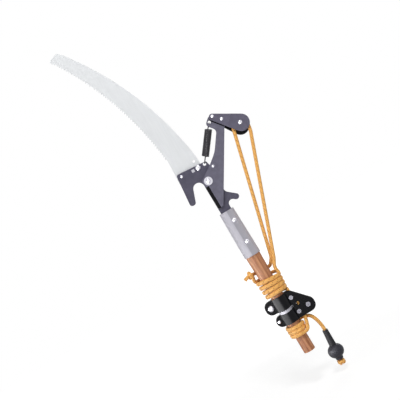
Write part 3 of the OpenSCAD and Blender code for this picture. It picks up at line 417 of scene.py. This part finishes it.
def wire(name, points, thickness, material, step=0.45, around=14):
    """A round wire along a smooth curve through the points: rings of half the thickness about the curve, and at
    each end a tip 0.15 thicknesses further on, which makes a slightly domed cut."""
    centre, _ = along(points, step)
    u, v = sides_of(centre)
    a = np.linspace(0, 2 * np.pi, around, endpoint=False)[:, None]
    rings = centre[:, None] + thickness / 2 * (np.cos(a) * u[:, None] + np.sin(a) * v[:, None])
    outwards = centre[[0, -1]] - centre[[1, -2]]
    tips = centre[[0, -1]] + 0.15 * thickness * outwards / np.linalg.norm(outwards, axis=1, keepdims=True)
    return piece(name, *skin_of(rings[None], tips[None]), material)


oiled = grained("oiled black spring wire", "#39373b", "#444247", 1.5, worn=(0.42, 0.56),
                Metallic=0.05, Roughness=0.5, Specular_IOR_Level=0.15)
plate_hole = np.array([11.0, -2.65, 427.0])
lever_hole = np.array([62.0, -2.65, 493.5])
spring_length = np.linalg.norm(lever_hole - plate_hole)
spring_line = (lever_hole - plate_hole) / spring_length
spring_side = np.array([spring_line[2], 0, -spring_line[0]])
coil_start, coil_stop, coil_wide, coil_wire, coil_turns = 15.8, 69.5, 13.6, 1.7, 30
steps_a_turn = 28
hook_wire = 2.3


def by_spring(s, u, v):
    """Points at s along the spring's line, u across it in the plate's plane and v to the back."""
    s, u, v = (np.asarray(q, float)[..., None] for q in (s, u, v))
    return plate_hole + s * spring_line + u * spring_side + v * np.array([0, 1.0, 0])


coil_turn = np.linspace(0, coil_turns, coil_turns * steps_a_turn + 1)
coil = by_spring(coil_start + (coil_stop - coil_start) * coil_turn / coil_turns,
                 coil_wide / 2 * np.cos(2 * np.pi * coil_turn), coil_wide / 2 * np.sin(2 * np.pi * coil_turn))
spring = wire("spring_coil", coil, coil_wire, oiled, step=1.3, around=10)
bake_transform(spring)
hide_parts("return_spring")

# Each hook's points are given as along, across and to the back. The wire bears on the edge of its hole
# that is nearest to the coil, bear_at from the hole's middle. The spring's plane lies half-way between
# the middle planes of the hook plate and the lever, plane_gap from each.
bear_at, plane_gap = 1.8, 2.65
low_hook = wire("spring_lower_hook_wire", by_spring(*np.transpose([
    (coil_start + 6, 4.6, 0), (coil_start + 2, 4.4, 0), (coil_start - 1.5, 0.3, 0), (coil_start - 6, 0, -1.75),
    (6, 0, -1.75), (4.2, 0, -1.75), (2.3, 0, -0.7), (bear_at, 0, plane_gap), (2.3, 0, 6.0),
    (4.2, 0, 7.05), (6.5, 0, 7.05)])), hook_wire, oiled)
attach(low_hook, "spring_lower")
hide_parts("spring_lower_hook")

hook_turn = np.radians(5.7)
swing = np.array([[np.cos(hook_turn), 0, np.sin(hook_turn)], [0, 1, 0], [-np.sin(hook_turn), 0, np.cos(hook_turn)]])
high_points = by_spring(*np.transpose([
    (coil_stop - 6, 0, 0), (coil_stop - 2, 0, 0), (coil_stop + 1, 0, 0), (coil_stop + 6, 0, 1.75),
    (spring_length - 4.2, 0, 1.75), (spring_length - 2.3, 0, 0.7), (spring_length - bear_at, 0, -plane_gap),
    (spring_length - 1.9, 0, -5.2), (spring_length - 2.2, 0, -6.2)]))
high_hook = wire("spring_upper_hook_wire", lever_hole + (high_points - lever_hole) @ swing.T, hook_wire, oiled)
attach(high_hook, "lever")
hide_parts("spring_upper_hook")

# Painted shadow: a near-black strip laid along the front cheek's lower edge, where the cheek lies on the
# lever, stands for the shadow under the cheek and shows as a dark line. It follows the
# cheek's outline, round its small end and then along the tangent to its large end.
cheek_near, cheek_far = np.array([72.0, 499.3]), np.array([115.8, 460.3])
near_round, far_round = 6.7, 17.4
lever_face, bead_high, bead_wide, bead_sunk = -7.8, 1.0, 2.3, 0.05
bead_start, bead_first, bead_last = np.radians(-172), 0.8, 28.6
bead_square = 0.6
cheek_reach = cheek_far - cheek_near
cheek_heading = np.arctan2(cheek_reach[1], cheek_reach[0])
edge_turn = cheek_heading - np.arccos((near_round - far_round) / np.linalg.norm(cheek_reach))
round_turn = np.linspace(bead_start, edge_turn, 14)
round_out = np.stack([np.cos(round_turn), np.sin(round_turn)], axis=1)
edge_out = np.array([np.cos(edge_turn), np.sin(edge_turn)])
edge_way = np.array([-edge_out[1], edge_out[0]])
straight = np.linspace(bead_first, bead_last, 30)[:, None]
edge_line = np.concatenate([cheek_near + near_round * round_out,
                            cheek_near + near_round * edge_out + straight * edge_way])
outward = np.concatenate([round_out, np.tile(edge_out, (len(straight), 1))])
# The strip swells from its start, and its section is a squared oval: cos and sin to the power bead_square.
swell = bead_wide * np.minimum(1, 0.35 + np.linspace(0, 3, len(edge_line)))
bead_turn = np.linspace(0, 2 * np.pi, 16, endpoint=False)
bead_u, bead_v = (np.sign(f) * np.abs(f) ** bead_square for f in (np.cos(bead_turn), np.sin(bead_turn)))
bead_flat = edge_line[:, None] + outward[:, None] * (swell[:, None, None] / 2 * (1 + bead_u)[None, :, None])
bead_y = np.broadcast_to(lever_face + bead_sunk - bead_high / 2 * (1 - bead_v), bead_flat.shape[:2])
bead_rings = np.stack([bead_flat[..., 0], bead_y, bead_flat[..., 1]], axis=-1)
# Painted shadow: the strip's near-black colour stands for the shade below the cheek's edge.
shadow_line_paint = grained("black painted shadow line", "#060608", "#0d0d10", 1.5, (0.3, 0.2),
                 Roughness=0.7, Specular_IOR_Level=0.1)
shadow_strip = piece("cheek_shadow_line", *skin_of(bead_rings[None], bead_rings[[0, -1]].mean(axis=1)[None]), shadow_line_paint)
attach(shadow_strip, "lever")

# Rope: one braided cord, 7.4 mm thick, of yellow fibre with brown marker yarns. It starts frayed at the
# knot, goes behind the pole, up over the pulley and down, winds round the pole above and below the
# bracket, and ends in the pull handle. It is cut into pieces here where one moves against the next.
rope_thick = 7.4
strands, lay, sink, marker_every = 8, 2.8, 0.42, 4
round_steps, ring_step = 48, 0.55
press_thin, press_wide, press_ease = 0.12, 0.2, 20

foot_left, foot_right = np.array([31.4, 4.4, 204.0]), np.array([33.7, -4.4, 196.0])
axle = np.array([114.5, -5.3, 462.0])
pitch_radius = 12.7
wrap_angle = np.radians(np.linspace(147.3, -7.3, 22))
over_pulley = axle + pitch_radius * np.stack([np.cos(wrap_angle), 0 * wrap_angle, np.sin(wrap_angle)], axis=1)
bow_left, bow_right = np.array([96.6, -5.3, 457.8]), np.array([123.9, -5.3, 436.6])
left_run = np.linspace(foot_left, bow_left, 28)
right_run = np.concatenate([[[126.3, -5.3, 450.0]], np.linspace(bow_right, foot_right, 27)])

free_end = np.array([[-37.0, -3.4, 187.2], [-33.5, -3.0, 188.2], [-29.5, -1.8, 189.0], [-25.5, 0.4, 189.0],
                     [-22.0, 4.4, 188.2]])
behind_pole = np.array([[-18.4, 9.4, 187.0], [-13, 15.5, 185.5], [-5, 19.4, 185], [4, 19.4, 184.5],
                        [13, 16, 183.8], [20.2, 10.8, 185.6], [25.0, 6.6, 191.6], [30.2, 4.6, 199.8]])

# Upper winding: four oval turns that narrow downwards. Each falls by the pitch, and the first ones are
# also raised on the pole's left side.
upper_middle, upper_half_wide, upper_narrowing, upper_half_deep = 2.5, 23, 1.6, 18.14
upper_top, upper_pitch, upper_rise, upper_count = 163, 8.6, 8, 4
wind_upper = np.radians(np.arange(20, 1400.1, 15))
past = wind_upper / (2 * upper_count * np.pi)
upper_wide = upper_half_wide + upper_narrowing * (1 - 2 * past)
upper_high = (upper_top - upper_pitch * wind_upper / (2 * np.pi)
              + upper_rise * (1 - past) * (1 - np.cos(wind_upper)) / 2)
upper_turns = np.stack([upper_middle + upper_wide * np.cos(wind_upper), -upper_half_deep * np.sin(wind_upper),
                        upper_high], axis=1)
upper_lead = np.array([[29.8, -4.4, 188.6], [26.0, -3.9, 180.2], [25.5, -3.0, 172.8], [26.7, -3.0, 166.2]])
upper_leave = np.array([[21.6, 8.5, 129.3], [23.5, 4.8, 129.0], [24.2, 1.7, 128.4], [24.1, 0.2, 125.6]])

through_bracket = np.array([[24.1, 0.0, 120.5], [25.0, 0.0, 116.8], [27.4, 0.0, 112.8], [28.6, 0.0, 107.0],
                            [28.9, 0.0, 99.0], [28.9, 0.0, 90.0], [28.9, 0.0, 80.0], [28.2, 0.0, 72.0],
                            [27.3, -0.3, 67.0], [26.4, -1.5, 63.0]])

# Lower winding: three round turns that climb by the pitch and lie close on the pole, whose radius grows
# from its end upwards.
lower_start, lower_pitch, lower_level = 39.1, 8, 0.4
end_radius, end_growth, end_reach, rope_clear = 12.25, 1.15, 32, 3.9
lower_lead = np.array([[25.2, -5.0, 58.5], [23.4, -9.4, 52.8], [21.6, -12.2, 48.2], [19.2, -14.3, 43.3],
                       [15.6, -14.8, 40.6], [10.2, -15.0, 40.0]])
wind_lower = np.radians(np.arange(75, 1035.1, 15))
lower_z = lower_start + lower_pitch * (wind_lower / (2 * np.pi) - lower_level * (1 - np.cos(wind_lower)) / 4)
pole_grown = np.clip((lower_z + rope_thick / 2 - end_reach) / end_reach, 0, 1)
lower_radius = end_radius + end_growth * pole_grown + rope_clear
lower_turns = np.stack([lower_radius * np.cos(wind_lower), -lower_radius * np.sin(wind_lower), lower_z], axis=1)
lower_leave = np.array([[16.2, 9.4, 62.5], [20.6, 8.8, 63.2], [25.4, 8.0, 62.4]])

to_handle = np.array([[30.4, 7.0, 60.6], [34.6, 6.1, 59.0], [38.4, 5.0, 55.2], [41.6, 3.7, 49.2],
                      [44.7, 2.9, 39.4], [46.5, 2.1, 29.0], [46.85, 1.7, 22.5]])
handle_top = np.array([46.8, 1.6, 19.0])
handle_way = np.array([-0.0541, 0.0, -0.9985])
in_handle = handle_top + np.array([[3], [30], [66.0]]) * handle_way

legs = [free_end, behind_pole, left_run, over_pulley, right_run, upper_lead, upper_turns, upper_leave,
        through_bracket, lower_lead, lower_turns, lower_leave, to_handle, in_handle]
rope_line, rope_at = along(np.concatenate(legs), ring_step)
rope_u, rope_v = sides_of(rope_line)


def nearest(spot):
    """Index of the rope's ring that is nearest to a point."""
    return int(np.linalg.norm(rope_line - spot, axis=1).argmin())


pressed = np.zeros(len(rope_line))
ring = np.arange(len(rope_line))
for winding in (upper_turns, lower_turns):
    pressed += np.clip(np.minimum(ring - nearest(winding[0]), nearest(winding[-1]) - ring) / press_ease, 0, 1)


def braid(s, a):
    """Height of a plain braid, 0 in the crevices and 1 on the crowns, and its marker yarns, at distance s and
    angle a: two sets of strands wind as n a / 2 pi +- s / lay, squares of them take turns on top, and a strand
    is round across."""
    right, left = strands * a / (2 * np.pi) + s / lay, strands * a / (2 * np.pi) - s / lay
    over = (np.floor(right) + np.floor(left)) % 2 == 0
    wide = np.where(over, right, left) % 1 - 0.5
    long = np.where(over, left, right) % 1 - 0.5
    height = np.sqrt(np.clip(1 - (1.9 * wide) ** 2, 0, 1)) * (0.5 + 0.5 * np.cos(np.pi * long))
    marked = over & (np.floor(right) % marker_every == 0)
    return height, marked * np.clip(1.3 - 2.2 * np.abs(wide), 0, 1)


def rope_piece(name, centre, s, u, v, material, press=0.0):
    """Braided rope on a centre line: each ring's radius is the rope's, less the sink of the braid where it isn't
    a crown. Where it is pressed on the pole, its section is wider along the pole and thinner across."""
    a = np.linspace(0, 2 * np.pi, round_steps, endpoint=False)
    height, marked = braid(s[:, None], a[None])
    radius = (rope_thick / 2 - sink * (1 - height))[..., None]
    around = radius * (np.cos(a)[:, None] * u[:, None] + np.sin(a)[:, None] * v[:, None])
    flattened = np.broadcast_to(press, len(centre))[:, None, None] * np.array([-press_thin, -press_thin, press_wide])
    rings = centre[:, None] + around * (1 + flattened)
    tips = centre[[0, -1]]
    marks = {"crown": np.append(height.ravel(), [0.3, 0.3]), "marker": np.append(marked.ravel(), [0, 0])}
    return piece(name, *skin_of(rings[None], tips[None]), material, **marks)


# The cord's yarns are dull and hairy, and flecked by the markers. The braid's crevices are painted dark
# and its crowns pale from the braid's height, painted shade and painted light. Real hairs are finer than
# 0.1 mm, and they are drawn at 0.7 mm, so that they show.
braid_shade_tones = [(0.0, paint("#a3682a")), (1.0, paint("#fbc370")), (0.35, paint("#eda84e"))]
rope_yarn, tree, shader = finish("braided yellow cord", Roughness=0.7, Specular_IOR_Level=0.25, Sheen_Weight=0.15)
where = add(tree, "TexCoord").outputs["Object"]
crown = add(tree, "Attribute", attribute_name="crown").outputs["Fac"]
marker = add(tree, "Attribute", attribute_name="marker").outputs["Fac"]
hair = add(tree, "TexNoise", {"Vector": where, "Scale": per_mm(0.7), "Detail": 3.0})
# Painted shade and light: the ramp runs from dark in the crevices to pale on the crowns.
tone = add(tree, "ValToRGB", {0: crown}, braid_shade_tones)
fleck = add(tree, "Mix", {0: marker, "A": tone, "B": paint("#b87f35")}, data_type="RGBA")
shaded = add(tree, "ValToRGB", {0: hair}, [(0.3, (0.86, 0.86, 0.86, 1)), (0.7, (1, 1, 1, 1))])
mixed = add(tree, "Mix", {0: 1.0, "A": fleck.outputs["Result"], "B": shaded},
            data_type="RGBA", blend_type="MULTIPLY")
tree.links.new(mixed.outputs["Result"], shader.inputs["Base Color"])
relief = add(tree, "Bump", {"Height": hair, "Strength": 0.3, "Distance": 0.3 * MM})
tree.links.new(relief.outputs[0], shader.inputs["Normal"])

# The two runs to the pulley get meshes of their own.
cuts = [0, nearest(foot_left), nearest(over_pulley[0]), nearest(over_pulley[-1]), nearest(foot_right),
        nearest(through_bracket[0]), nearest(lower_lead[0]), nearest(to_handle[0]), len(rope_line) - 1]
for (name, node, body), start, stop in zip((
    ("rope_knot_and_anchor", "rope_anchor", "pole"), ("rope_left_run", "rope_loop", "rope_over_pulley"),
    ("rope_on_pulley", "rope_loop", "rope_over_pulley"), ("rope_right_run", "rope_loop", "rope_over_pulley"),
    ("rope_upper_turns", "rope_upper_winding", "pole"), ("rope_through_bracket", "rope_guide_strand", "pole"),
    ("rope_lower_turns", "rope_lower_winding", "pole"), ("rope_to_handle", "rope_tail", "pole"),
), cuts[:-1], cuts[1:]):
    part = slice(start, stop + 1)
    made = rope_piece(name, rope_line[part], rope_at[part], rope_u[part], rope_v[part], rope_yarn, pressed[part])
    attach(made, body)
    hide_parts(node)
    if name == "rope_knot_and_anchor":
        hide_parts("rope_knot")
    if name in ("rope_left_run", "rope_right_run"):
        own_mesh(made)

# The end strand passes behind the pole and then once round the free end, as a hitch.
hitch_middle, hitch_drift = np.array([-22.6, 0.3, 188.8]), 5.2
hitch_deep, hitch_high, hitch_points = 5.9, 5.6, 15
hitch_turn = np.radians(np.linspace(-100, 250, hitch_points))
hitch = np.stack([hitch_middle[0] - hitch_drift * np.linspace(0, 1, hitch_points),
                  hitch_middle[1] - hitch_deep * np.cos(hitch_turn),
                  hitch_middle[2] + hitch_high * np.sin(hitch_turn)], axis=1)
to_hitch = np.array([[24.3, 3.4, 169.6], [23.4, 6.4, 169.8], [20.5, 10.8, 170.2], [15.5, 15.3, 170.5],
                     [9, 18.4, 170.6], [2, 20, 170.6], [-9, 18.7, 170.3], [-17.2, 14.2, 169.8],
                     [-22.2, 9.2, 170.4], [-23.8, 5.2, 173.4], [-23.6, 2.0, 178.2]])
end_line, end_at = along(np.concatenate([to_hitch, hitch]), ring_step)
end_strand = rope_piece("rope_end_strand", end_line, end_at, *sides_of(end_line), rope_yarn)
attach(end_strand, "pole")
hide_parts("rope_end")


# Frayed ends: the braid opens at the rope's two cut ends, at the knot and below the handle, and its
# yarns hang loose. A yarn is drawn 1.1 mm thick, a few real ones together, so that it shows.
def fray(name, root, heading, reach, spread, count, seed):
    """Loose yarns as thin tapered tubes: root + start across + heading * reach * t + outward * spread * t^2,
    with a wave."""
    yarn_radius, yarn_sides = 0.55, 6
    rng = np.random.default_rng(seed)
    heading = np.asarray(heading, float) / np.linalg.norm(heading)
    u = np.cross(heading, [0.3, 0.9, 0.2])
    u /= np.linalg.norm(u)
    v = np.cross(heading, u)
    turn = rng.uniform(0, 2 * np.pi, (count, 1))
    out = rng.uniform(0.2, 1, (count, 1)) ** 0.6
    far = reach * rng.uniform(0.65, 1.0, (count, 1))
    wave = rng.uniform(-0.8, 0.8, (count, 2))
    t = np.linspace(0, 1, 9)[None]
    side = np.cos(turn)[..., None] * u + np.sin(turn)[..., None] * v
    yarn = (np.asarray(root) + side * (out * (0.75 * rope_thick / 2 + spread * t**2))[..., None]
            + heading * (far * t)[..., None] + (wave[:, :1] * np.sin(3.1 * t))[..., None] * u
            + (wave[:, 1:] * np.sin(2.3 * t))[..., None] * v)
    a = np.linspace(0, 2 * np.pi, yarn_sides, endpoint=False)
    thick = (yarn_radius * (1 - 0.75 * t**2))[..., None, None] * np.ones((count, 1, 1, 1))
    rings = yarn[:, :, None] + thick * (np.cos(a)[:, None] * u + np.sin(a)[:, None] * v)
    points, quads, fans = skin_of(rings, np.stack([yarn[:, 0], yarn[:, -1] + 0.3 * heading], axis=1))
    # Painted shade: each yarn is darker at its root, by the braid, and paler towards its tip.
    high = np.tile(np.clip(0.55 + 0.45 * t, 0, 1)[..., None], (count, 1, yarn_sides)).ravel()
    crown = np.append(high, np.repeat([0.5, 1.0], count))
    return piece(name, points, quads, fans, rope_yarn, crown=crown, marker=0 * crown)


knot_fray = fray("rope_frayed_end", free_end[0] + [1, 0, 0.2], [-0.95, -0.05, -0.3], 4.5, 1.6, 44, 3)
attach(knot_fray, "pole")

# Pull handle: a rubber sleeve and a moulded plastic ball, both threaded on the rope, which slide up
# against the knot in its end. The rubber is matt, and the plastic has a faint sheen.
dress(grained("matt black rubber", "#101014", "#1a1a1f", 0.9, (0.25, 0.2),
              Roughness=0.62, Specular_IOR_Level=0.25), "handle_sleeve")
dress(grained("moulded grey polypropylene", "#26262e", "#303039", 1.1, (0.2, 0.2),
              Roughness=0.5, Specular_IOR_Level=0.22), "handle_ball")

# Knot below the handle: the rope's end turned round itself, with its yarns frayed out. It is too thick
# to pass the ball, and so it holds the handle on the rope.
knot_from_top, knot_turns, knot_radius, knot_drop = 69.4, 1.6, 4.6, 4.2
knot_turn = np.linspace(0, knot_turns * 2 * np.pi, 30)
knot_u, knot_v = np.array([handle_way[2], 0, -handle_way[0]]), np.array([0, 1.0, 0])
knot_top = handle_top + knot_from_top * handle_way
knot_points = (knot_top + np.outer(knot_radius * np.cos(knot_turn), knot_u)
               + np.outer(knot_radius * np.sin(knot_turn), knot_v)
               + np.outer(knot_drop * knot_turn / knot_turn[-1], handle_way))
knot_line, knot_at = along(knot_points, ring_step)
low_knot = rope_piece("rope_handle_knot", knot_line, knot_at, *sides_of(knot_line), rope_yarn)
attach(low_knot, "pole")
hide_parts("handle_knot")
low_fray = fray("rope_frayed_tail", knot_top + 3 * handle_way, handle_way, 5.4, 3.4, 50, 8)
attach(low_fray, "pole")
